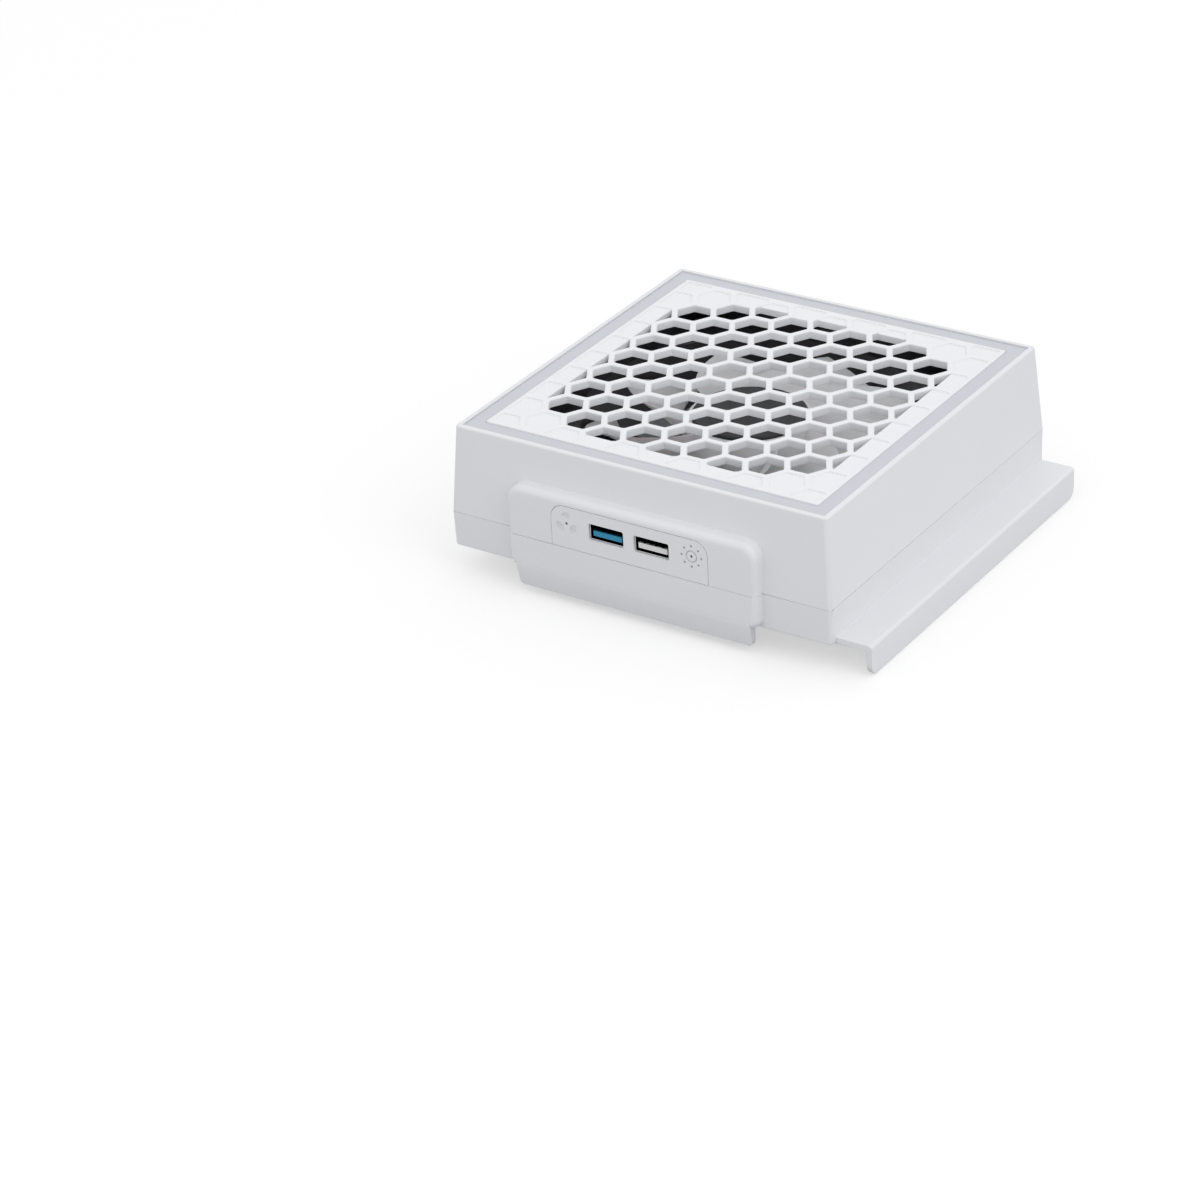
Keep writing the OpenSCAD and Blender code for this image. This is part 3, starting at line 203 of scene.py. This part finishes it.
plasticLooks = {
    "shell_white": {"light": tone(0.80, 0.81, 0.836), "dark": tone(0.78, 0.79, 0.818), "rough": 0.44},
    "plate_white": {"light": tone(0.85, 0.86, 0.882), "dark": tone(0.832, 0.842, 0.866), "rough": 0.44},
    "panel_white": {"light": tone(0.80, 0.81, 0.836), "dark": tone(0.785, 0.795, 0.822), "rough": 0.40},
    "board_white": {"light": tone(0.80, 0.80, 0.77), "dark": tone(0.74, 0.74, 0.70), "rough": 0.35},
    "led_cream": {"light": tone(0.85, 0.78, 0.45), "dark": tone(0.80, 0.70, 0.36), "rough": 0.2},
    "chip_black": {"light": tone(0.022, 0.022, 0.024), "dark": tone(0.014, 0.014, 0.015), "rough": 0.5},
    "socket_ivory": {"light": tone(0.78, 0.74, 0.62), "dark": tone(0.72, 0.68, 0.56), "rough": 0.4},
    "tongue_blue": {"light": tone(0.012, 0.262, 0.44), "dark": tone(0.009, 0.228, 0.40), "rough": 0.34},
    "tongue_white": {"light": tone(0.78, 0.78, 0.78), "dark": tone(0.72, 0.72, 0.72), "rough": 0.36},
    "frame_black": {"light": tone(0.016, 0.016, 0.018), "dark": tone(0.010, 0.010, 0.011), "rough": 0.48},
    "foam_black": {"light": tone(0.014, 0.014, 0.015), "dark": tone(0.007, 0.007, 0.008), "rough": 0.85},
    "hub_black": {"light": tone(0.020, 0.020, 0.022), "dark": tone(0.013, 0.013, 0.014), "rough": 0.38},
    "magnet_dark": {"light": tone(0.07, 0.066, 0.062), "dark": tone(0.045, 0.042, 0.04), "rough": 0.6},
    "pad_rubber": {"light": tone(0.22, 0.22, 0.225), "dark": tone(0.17, 0.17, 0.175), "rough": 0.75},
    "lead_black": {"light": tone(0.018, 0.018, 0.018), "dark": tone(0.012, 0.012, 0.012), "rough": 0.45},
    "lead_white": {"light": tone(0.76, 0.76, 0.75), "dark": tone(0.70, 0.70, 0.68), "rough": 0.45},
}
plasticGrain = {"cloud": 38.0, "grain": 0.32, "depth": 0.006, "spread": 0.14}  # mm, and roughness
portShade = {  # painted shadow: finishes inside the ports darken over a depth in mm from a node's front, standing in for the shade that falls inside them
    # the colour of the painted shadow deep inside the ports
    "colour": tone(0.004, 0.004, 0.005),
    "front": {
        "tongue_blue": "left_port_tongue", "tongue_white": "left_port_tongue",
        "port_steel": "left_port_shell", "contact_gold": "left_port_shell",
    },
    "deep": {"tongue_blue": 1.1, "tongue_white": 1.1, "port_steel": 0.5, "contact_gold": 0.4},
}


# painted shadow: mixes a finish towards the dark colour with depth behind the port's mouth
def paintedPortShadow(paint, name, colour):
    if name not in portShade["deep"]:
        return colour
    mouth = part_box(portShade["front"][name])[0].y / mm
    inside = (paint.along(1) - mouth) * (1 / portShade["deep"][name])
    return paint.mixed(inside.clamped(), colour, portShade["colour"])


def plastic(name, look):
    paint = Paint(name, {"IOR": 1.48})
    cloud = paint.noise(plasticGrain["cloud"])
    grain = paint.noise(plasticGrain["grain"], 3.0)
    paint.feed(paint.shader, {
        "Base Color": paintedPortShadow(paint, name, paint.mixed(cloud, look["dark"], look["light"])),
        "Roughness": look["rough"] + (grain - 0.5) * plasticGrain["spread"],
        "Normal": paint.bump(grain, plasticGrain["depth"]),
    })
    return paint.material


metalLooks = {
    "pad_copper": {"light": tone(0.70, 0.40, 0.24), "dark": tone(0.58, 0.31, 0.18), "rough": 0.3},
    "port_steel": {"light": tone(0.70, 0.70, 0.71), "dark": tone(0.60, 0.60, 0.61), "rough": 0.27},
    "contact_gold": {"light": tone(0.83, 0.62, 0.26), "dark": tone(0.70, 0.50, 0.20), "rough": 0.24},
    "bearing_bronze": {"light": tone(0.52, 0.33, 0.17), "dark": tone(0.38, 0.23, 0.11), "rough": 0.38},
    "yoke_steel": {"light": tone(0.55, 0.55, 0.56), "dark": tone(0.44, 0.44, 0.45), "rough": 0.35},
    "shaft_steel": {"light": tone(0.74, 0.74, 0.75), "dark": tone(0.66, 0.66, 0.67), "rough": 0.14},
    "screw_black": {"light": tone(0.045, 0.045, 0.048), "dark": tone(0.028, 0.028, 0.03), "rough": 0.4},
    "screw_steel": {"light": tone(0.60, 0.60, 0.61), "dark": tone(0.48, 0.48, 0.49), "rough": 0.32},
}
metalBrush = {
    "cloud": 6.0, "line": 0.25, "depth": 0.003,  # mm
    "stretch": (0.04, 1, 1), "spread": 0.2, "cloudShare": 0.6,
}


def metal(name, look):
    paint = Paint(name, {"Metallic": 1.0})
    cloud = paint.noise(metalBrush["cloud"])
    brush = paint.noise(metalBrush["line"], 2.0, metalBrush["stretch"])
    blend = cloud * metalBrush["cloudShare"] + brush * (1 - metalBrush["cloudShare"])
    colour = paint.mixed(blend, look["dark"], look["light"])
    paint.feed(paint.shader, {
        "Base Color": paintedPortShadow(paint, name, colour),
        "Roughness": look["rough"] + (brush - 0.5) * metalBrush["spread"],
        "Normal": paint.bump(brush, metalBrush["depth"]),
    })
    return paint.material


symbolLook = {
    # petal: partly the symbol's own pale tone, partly painted shade, a little darker than the panel to stand
    # in for the shading of the engraved petals
    "petal": tone(0.73, 0.74, 0.765), "ring": tone(0.60, 0.605, 0.62), "ray": tone(0.32, 0.325, 0.34),
    "dot": tone(0.08, 0.08, 0.085),
    "reach": 4.1, "rays": 3.0, "dotSize": 0.9,  # mm from a symbol's middle
    "grain": 0.4, "depth": 0.004,  # mm
    "rough": 0.5,
}


def symbolInk(look):
    paint = Paint("symbol_grey", {"IOR": 1.48, "Roughness": look["rough"]})
    low, high = (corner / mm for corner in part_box("panel_symbols"))
    across = abs(paint.along(0)) - (high.x - look["reach"])
    height = paint.along(2) - (low.z + high.z) / 2
    away = across * across + height * height
    light = paint.mixed(away > look["rays"] ** 2, look["ring"], look["ray"])
    # the left symbol takes the petal tone, which holds painted shade of the engraving
    ink = paint.mixed(paint.along(0) < 0, light, look["petal"])
    paint.feed(paint.shader, {
        "Base Color": paint.mixed(away < look["dotSize"] ** 2, ink, look["dot"]),
        "Normal": paint.bump(paint.noise(look["grain"]), look["depth"]),
    })
    return paint.material


diffuserLook = {
    "light": tone(0.60, 0.617, 0.665), "dark": tone(0.565, 0.582, 0.63),
    "cloud": 9.0, "grain": 0.2, "depth": 0.003,  # mm
    "rough": 0.34,
}


def diffuser(look):
    paint = Paint("diffuser_grey", {"IOR": 1.49, "Roughness": look["rough"]})
    cloud = paint.noise(look["cloud"])
    grain = paint.noise(look["grain"])
    paint.feed(paint.shader, {
        "Base Color": paint.mixed(cloud, look["dark"], look["light"]),
        "Normal": paint.bump(grain, look["depth"]),
    })
    return paint.material


bladeLook = {
    "light": tone(0.86, 0.855, 0.865), "dark": tone(0.80, 0.795, 0.805),
    "cloud": 12.0, "grain": 0.22, "depth": 0.005,  # mm
    "rough": 0.36, "spread": 0.16,
    "glowThrough": 0.15, "glowDepth": 2.0,  # share of the light that goes into a blade, and mm
}


def frosted(look):
    inner = {"Subsurface Weight": look["glowThrough"], "Subsurface Scale": look["glowDepth"] * mm}
    paint = Paint("blade_frosted", {"IOR": 1.5, **inner})
    cloud = paint.noise(look["cloud"], 3.0)
    grain = paint.noise(look["grain"], 3.0)
    paint.feed(paint.shader, {
        "Base Color": paint.mixed(cloud, look["dark"], look["light"]),
        "Roughness": look["rough"] + (grain - 0.5) * look["spread"],
        "Normal": paint.bump(grain, look["depth"]),
    })
    return paint.material


boardLook = {
    "mask": tone(0.012, 0.10, 0.035), "trace": tone(0.03, 0.17, 0.07),
    "pitch": 1.3, "wander": 5.0, "depth": 0.02,  # mm
    "gap": 0.72,  # share of the pitch between two traces
    "rough": 0.42, "traceShine": 0.1,
}


def circuitBoard(look):
    paint = Paint("board_green", {"IOR": 1.5, "Coat Weight": 0.4, "Coat Roughness": 0.1})
    along = paint.waves(look["pitch"], "X") > look["gap"]
    across = paint.waves(look["pitch"], "Y") > look["gap"]
    patch = paint.noise(look["wander"]) > 0.5
    trace = along * patch + across * (1 - patch)
    paint.feed(paint.shader, {
        "Base Color": paint.mixed(trace, look["mask"], look["trace"]),
        "Roughness": look["rough"] - trace * look["traceShine"],
        "Normal": paint.bump(trace, look["depth"]),
    })
    return paint.material


windingLook = {
    "light": tone(0.62, 0.27, 0.12), "dark": tone(0.34, 0.12, 0.05),
    "wire": 0.35, "depth": 0.1,  # mm
    "rough": 0.36, "wireShine": 0.12,
}


def winding(look):
    paint = Paint("coil_copper", {"Metallic": 1.0, "Coat Weight": 0.3})
    turn = paint.waves(look["wire"], "DIAGONAL")
    paint.feed(paint.shader, {
        "Base Color": paint.mixed(turn, look["dark"], look["light"]),
        "Roughness": look["rough"] - turn * look["wireShine"],
        "Normal": paint.bump(turn, look["depth"]),
    })
    return paint.material


laminateLook = {
    "light": tone(0.36, 0.37, 0.39), "dark": tone(0.18, 0.185, 0.195),
    "sheet": 0.5, "stain": 3.0, "depth": 0.04,  # mm
    "rough": 0.5, "sheetShine": 0.14, "sheetShare": 0.7,
}


def laminate(look):
    paint = Paint("core_iron", {"Metallic": 1.0})
    sheet = paint.waves(look["sheet"], "Z")
    stain = paint.noise(look["stain"], 3.0)
    blend = sheet * look["sheetShare"] + stain * (1 - look["sheetShare"])
    paint.feed(paint.shader, {
        "Base Color": paint.mixed(blend, look["dark"], look["light"]),
        "Roughness": look["rough"] - sheet * look["sheetShine"],
        "Normal": paint.bump(sheet, look["depth"]),
    })
    return paint.material


finishes = {name: plastic(name, look) for name, look in plasticLooks.items()}
finishes.update({name: metal(name, look) for name, look in metalLooks.items()})
finishes["symbol_grey"] = symbolInk(symbolLook)
finishes["diffuser_grey"] = diffuser(diffuserLook)
finishes["blade_frosted"] = frosted(bladeLook)
finishes["board_green"] = circuitBoard(boardLook)
finishes["coil_copper"] = winding(windingLook)
finishes["core_iron"] = laminate(laminateLook)
slotOf = {part["node"]: part["material_slot"] for part in frame["record"]["subparts"]}
bodyOf = {node: body for body, group in frame["record"]["behaviour"]["bodies"].items() for node in group}


def coat(obj, finish):
    if not obj.data.materials:
        obj.data.materials.append(finish)
    for slot in obj.material_slots:
        slot.material = finish


for node, obj in nodes.items():
    coat(obj, finishes[slotOf[node]])
print("finishes made:", len(finishes))


def newObject(name, bm):
    bmesh.ops.recalc_face_normals(bm, faces=bm.faces)
    for face in bm.faces:
        face.smooth = True
    mesh = bpy.data.meshes.new(name)
    bm.to_mesh(mesh)
    bm.free()
    stored = mesh.attributes.get("custom_normal")  # a copied mesh brings the shading of its old edges
    if stored:
        mesh.attributes.remove(stored)
    obj = bpy.data.objects.new(name, mesh)
    scene.collection.objects.link(obj)
    return obj


def addSkin(bm, loops):
    for lower, upper in zip(loops, loops[1:]):
        for i in range(len(lower)):
            j = (i + 1) % len(lower)
            bm.faces.new((lower[i], lower[j], upper[j], upper[i]))


def addLoft(bm, rings, closed=False):  # skins rings of points, given in mm
    loops = [[bm.verts.new(Vector(point) * mm) for point in ring] for ring in rings]
    if closed:
        loops.append(loops[0])
    else:
        bm.faces.new(loops[0][::-1])
        bm.faces.new(loops[-1])
    addSkin(bm, loops)


def combine(obj, tool, operation):  # a Boolean whose result becomes the mesh
    modifier = obj.modifiers.new("combine", "BOOLEAN")
    modifier.operation = operation
    modifier.object = tool
    modifier.solver = "EXACT"
    modifier.use_self = True
    depsgraph = bpy.context.evaluated_depsgraph_get()
    result = bpy.data.meshes.new_from_object(obj.evaluated_get(depsgraph))
    obj.modifiers.clear()
    obj.data = result
    bpy.data.objects.remove(tool)


edgeFinish = {
    "sharpest": 40,  # degrees between two faces from which their edge is rounded
    "segments": 3, "evenness": 70,  # evenness is how far large faces lead the shading
    "weld": 0.001,  # mm
}


def soften(obj, width):  # rounds the sharp edges by a width in mm
    if width:
        bevel = obj.modifiers.new("roundedEdges", "BEVEL")
        bevel.limit_method = "ANGLE"
        bevel.angle_limit = math.radians(edgeFinish["sharpest"])
        bevel.width = width * mm
        bevel.segments = edgeFinish["segments"]
        bevel.use_clamp_overlap = False
    shading = obj.modifiers.new("evenShading", "WEIGHTED_NORMAL")
    shading.keep_sharp = True
    shading.weight = edgeFinish["evenness"]


def standFor(obj, node):
    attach(obj, bodyOf[node])
    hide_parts(node)
    coat(obj, finishes[slotOf[node]])
    return obj


def dressed(name, node, width):  # the node's own shape with rounded edges
    bm = bmesh.new()
    bm.from_mesh(nodes[node].data)
    bmesh.ops.remove_doubles(bm, verts=bm.verts, dist=edgeFinish["weld"] * mm)
    obj = newObject(name, bm)
    soften(obj, width)
    return standFor(obj, node)


# honeycomb plate
plateShape = {
    "pitch": 13.5, "wall": 2.2, "field": 55.5, "rows": 4, "reach": 5,  # field is half its width, in mm
    "corner": 0.8, "lip": 0.5, "lipSteps": 4,  # mm, rounding of a cell's corners and of its upper edge
    "sink": 0.4, "sinkSlope": 0.06, "margin": 1.4, "overlap": 0.3,  # mm, the cells that stay closed
    "edge": 0.4, "edgeCorner": 0.6, "grow": 0.1,  # mm
    "beyond": 1,  # mm by which a cutting prism passes the plate
    "sharp": 50,  # degrees
}


def isOpen(column, row, shape):
    along = abs(row + 0.5 * (column % 2))
    column = abs(column)
    return column <= shape["reach"] and along <= shape["rows"] and along + column / 2 <= shape["reach"]


def cellMiddle(column, row, shape):
    return Vector((column * shape["pitch"] * math.sqrt(0.75), (row + 0.5 * (column % 2)) * shape["pitch"]))


def hexagon(middle, flat):
    corners = [math.radians(60 * k) for k in range(6)]
    return [middle + Vector((math.cos(a), math.sin(a))) * flat / math.sqrt(3) for a in corners]


def keptSide(points, axis, sign, limit):  # the part of a convex outline on one side of a line
    kept = []
    for here, after in zip(points, points[1:] + points[:1]):
        a = limit - sign * here[axis]
        b = limit - sign * after[axis]
        if a >= 0:
            kept.append(here)
        if a * b < 0:
            kept.append(here.lerp(after, a / (a - b)))
    return kept


def clipped(points, half):  # the part inside a rectangle
    for axis, sign in ((0, 1), (0, -1), (1, 1), (1, -1)):
        points = keptSide(points, axis, sign, half[axis])
    return points


def rounded(points, radius, grow, steps=3, most=0.45):  # a convex outline, grown, with round corners
    count = len(points)
    sides = [(points[(i + 1) % count] - points[i]) for i in range(count)]
    outline = []
    for i in range(count):
        before, after = sides[i - 1], sides[i]
        turn = before.angle_signed(after) * -1
        limit = most * min(before.length, after.length) / math.tan(turn / 2)  # at most this share of a side
        r = min(radius, limit)
        start = math.atan2(-before.x, before.y)
        inward = Vector((before.y, -before.x)).normalized() + Vector((after.y, -after.x)).normalized()
        middle = points[i] - inward * r / (1 + math.cos(turn))
        for k in range(steps + 1):
            a = start + turn * k / steps
            outline.append(middle + Vector((math.cos(a), math.sin(a))) * (r + grow))
    return outline


def edgeRings(top, radius, shape):  # heights and insets along a rounded upper edge
    turns = [math.pi / 2 * k / shape["lipSteps"] for k in range(shape["lipSteps"] + 1)]
    return [(top - radius * (1 - math.sin(a)), radius * (1 - math.cos(a))) for a in turns]


def honeycombPlate(shape):
    low, high = (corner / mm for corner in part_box("honeycomb_grille"))
    half = Vector((high.x + shape["grow"], high.y + shape["grow"]))
    body = bmesh.new()
    outline = [Vector((half.x * x, half.y * y)) for x, y in ((1, 1), (-1, 1), (-1, -1), (1, -1))]
    rings = [(low.z, 0)] + [(z, -inset) for z, inset in edgeRings(high.z, shape["edge"], shape)]
    addLoft(body, [[(p.x, p.y, z) for p in rounded(outline, shape["edgeCorner"], grow)] for z, grow in rings])
    plate = newObject("honeycombPlate", body)

    cells = bmesh.new()
    sunk = bmesh.new()
    field = (shape["field"], shape["field"])
    inside = half - Vector((shape["margin"], shape["margin"]))
    farthest = math.ceil(half.x / shape["pitch"]) + 2
    reach = range(-farthest, farthest + 1)
    for column in reach:
        for row in reach:
            cell = hexagon(cellMiddle(column, row, shape), shape["pitch"] - shape["wall"])
            if not isOpen(column, row, shape):
                sinkCell(sunk, clipped(cell, inside), high.z, shape)
                continue
            cutCell(cells, clipped(cell, field), low.z, high.z, shape)
            for axis, sign in ((0, 1), (0, -1), (1, 1), (1, -1)):
                rest = keptSide(cell, axis, -sign, shape["overlap"] - shape["field"])
                sinkCell(sunk, clipped(rest, inside), high.z, shape)
    combine(plate, newObject("openCells", cells), "DIFFERENCE")
    combine(plate, newObject("closedCells", sunk), "DIFFERENCE")
    plate.data.set_sharp_from_angle(angle=math.radians(shape["sharp"]))
    soften(plate, 0)
    return standFor(plate, "honeycomb_grille")


def cutCell(bm, hole, bottom, top, shape):  # a prism that flares at the top by the lip's rounding
    under = (bottom - shape["beyond"], 0)
    over = (top + shape["beyond"], shape["lip"])
    rings = [under] + edgeRings(top, shape["lip"], shape) + [over]
    addLoft(bm, [[(p.x, p.y, z) for p in rounded(hole, shape["corner"], grow)] for z, grow in rings])


def sinkCell(bm, outline, top, shape):  # a shallow recess with sloping sides
    if len(outline) < 3 or polygonArea(outline) < shape["wall"]:
        return
    rings = ((top - shape["sink"], 0), (top + shape["sink"], 2 * shape["sinkSlope"]))
    addLoft(bm, [[(p.x, p.y, z) for p in rounded(outline, shape["corner"], grow)] for z, grow in rings])


def polygonArea(points):
    return sum(a.x * b.y - b.x * a.y for a, b in zip(points, points[1:] + points[:1])) / 2


honeycombPlate(plateShape)
print("honeycomb plate made")


# rotor blades
bladeShape = {
    "count": 9, "hub": 19.82, "sleeve": 1.6, "tip": 55.6,  # radii in mm
    "turn": 35, "span": (26, 34), "sweep": 40,  # degrees, the span at the root and at the tip
    "curl": 0.2,  # share of the rise
    "thick": 1.4, "rootIn": (1.0, 1.4), "tipIn": (2.5, 4.0), "sleeveDrop": 1.2,  # mm
    "thinnest": 0.03, "fullness": 0.7,  # shares, towards a blade's edges
    "stations": 14, "points": 15, "turns": 96, "round": 0.4, "sharp": 45,
}


def bladeRing(share, low, high, shape):
    root = shape["hub"] + shape["sleeve"] / 2
    radius = root + share * (shape["tip"] - root)
    middle = -shape["sweep"] * share
    span = shape["span"][0] + share * (shape["span"][1] - shape["span"][0])
    bottom = low + shape["rootIn"][0] + share * (shape["tipIn"][0] - shape["rootIn"][0])
    top = high - shape["rootIn"][1] - share * (shape["tipIn"][1] - shape["rootIn"][1])
    faces = {-1: [], 1: []}
    last = shape["points"] - 1
    for j in range(shape["points"]):
        f = 0.5 - 0.5 * math.cos(math.pi * j / last)
        a = math.radians(middle + (f - 0.5) * span)
        z = bottom + (top - bottom) * ((1 - shape["curl"]) * f + shape["curl"] * f * f)
        bulge = max(shape["thinnest"], math.sin(math.pi * f))
        half = shape["thick"] / 2 * math.sqrt(bulge ** shape["fullness"])
        for side in faces:
            faces[side].append((radius * math.cos(a), radius * math.sin(a), z + side * half))
    return faces[-1] + faces[1][::-1]


def addBlade(bm, rings):  # skins a blade, with strips of quads across its two ends
    loops = [[bm.verts.new(point) for point in ring] for ring in rings]
    count = len(loops[0])
    addSkin(bm, loops)
    for loop in (loops[0][::-1], loops[-1]):
        for i in range(count // 2 - 1):
            bm.faces.new((loop[i], loop[i + 1], loop[count - 2 - i], loop[count - 1 - i]))


def rotorBlades(shape):
    hubLow, hubHigh = (corner.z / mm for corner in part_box("rotor_hub"))
    bm = bmesh.new()
    outer, inner, top = shape["hub"] + shape["sleeve"], shape["hub"], hubHigh - shape["sleeveDrop"]
    r = shape["round"]
    profile = [
        (inner, hubLow), (outer - r, hubLow), (outer, hubLow + r),
        (outer, top - r), (outer - r, top), (inner, top),
    ]
    turns = [2 * math.pi * k / shape["turns"] for k in range(shape["turns"])]
    rings = [[(radius * math.cos(a), radius * math.sin(a), z) for a in turns] for radius, z in profile]
    addLoft(bm, rings, closed=True)
    sleeve = newObject("rotorBlades", bm)
    blades = bmesh.new()
    shares = [k / (shape["stations"] - 1) for k in range(shape["stations"])]
    rings = [bladeRing(share, hubLow, hubHigh, shape) for share in shares]
    for k in range(shape["count"]):
        turn = Matrix.Rotation(math.radians(shape["turn"] + 360 * k / shape["count"]), 3, "Z")
        addBlade(blades, [[turn @ Vector(point) * mm for point in ring] for ring in rings])
    combine(sleeve, newObject("bladeSet", blades), "UNION")
    sleeve.data.set_sharp_from_angle(angle=math.radians(shape["sharp"]))
    soften(sleeve, 0)
    return standFor(sleeve, "rotor_blades")


rotorBlades(bladeShape)
print("rotor blades made")

roundedNodes = {  # width in mm by which each node's edges are rounded
    "upper_shell": 0.08, "lower_shell": 0.08, "fan_frame": 0.3,
    "motor_mount": 0.3, "rotor_hub": 0.3, "left_port_shell": 0.06, "right_port_shell": 0.06,
    "left_port_tongue": 0.12, "right_port_tongue": 0.12, "inlet_shell": 0.06, "inlet_tongue": 0.1,
    "rubber_pads": 0.25, "case_screws": 0.12, "fan_screws": 0.12, "board_sockets": 0.15, "board_parts": 0.12,
}
for node, width in roundedNodes.items():
    first, *rest = node.split("_")
    dressed(first + "".join(word.capitalize() for word in rest), node, width)
print("edges rounded on", len(roundedNodes), "pieces")

# floor, lights and world
stageLook = {
    "bounce": tone(0.55, 0.55, 0.55), "paper": tone(0.5, 0.5, 0.5), "glow": 0.52, "floorSize": 9.0,
    "fibre": 2.0, "floorRough": 0.8, "fibreRough": 0.15,
    "sky": 0.9, "white": 1.0,
    "keyPlace": (1.3, -0.35, 1.3), "keySize": 1.3, "keyPower": 5.2,
}


def addFloor(look):  # white to the eye, with a greyer bounce, and it keeps the shadow
    bm = bmesh.new()
    bmesh.ops.create_grid(bm, x_segments=1, y_segments=1, size=look["floorSize"])
    floor = newObject("floor", bm)
    floor.location.z = cadBox[0].z
    settings = {"Specular IOR Level": 0.0, "Emission Color": tone(1, 1, 1), "Emission Strength": look["glow"]}
    paint = Paint("floorPaper", settings)
    rough = look["floorRough"] + paint.noise(look["fibre"], 3.0) * look["fibreRough"]
    paint.feed(paint.shader, {"Base Color": look["paper"], "Roughness": rough})
    bounce = paint.add("ShaderNodeBsdfDiffuse", None, {"Color": look["bounce"]})
    paper = Wire(paint, paint.shader.outputs[0])
    paint.shown(paint.add("ShaderNodeMixShader", None, {0: paint.seen(), 1: bounce, 2: paper}))
    coat(floor, paint.material)


def addWorld(look):
    world = bpy.data.worlds.new("studio")
    scene.world = world
    studio = NodeTree(world)
    sky, white = (
        studio.add("ShaderNodeBackground", None, {"Color": tone(1, 1, 1), "Strength": look[light]})
        for light in ("sky", "white")
    )
    studio.shown(studio.add("ShaderNodeMixShader", None, {0: studio.seen(), 1: sky, 2: white}))


def addKeyLight(look):
    data = bpy.data.lights.new("softbox", "AREA")
    data.shape = "DISK"
    data.size = look["keySize"]
    data.energy = look["keyPower"]
    lamp = bpy.data.objects.new("softbox", data)
    lamp.location = look["keyPlace"]
    lamp.rotation_euler = (-Vector(look["keyPlace"])).to_track_quat("-Z", "Y").to_euler()
    scene.collection.objects.link(lamp)


addFloor(stageLook)
addWorld(stageLook)
addKeyLight(stageLook)
scene.view_settings.view_transform = "Standard"
print("stage set")
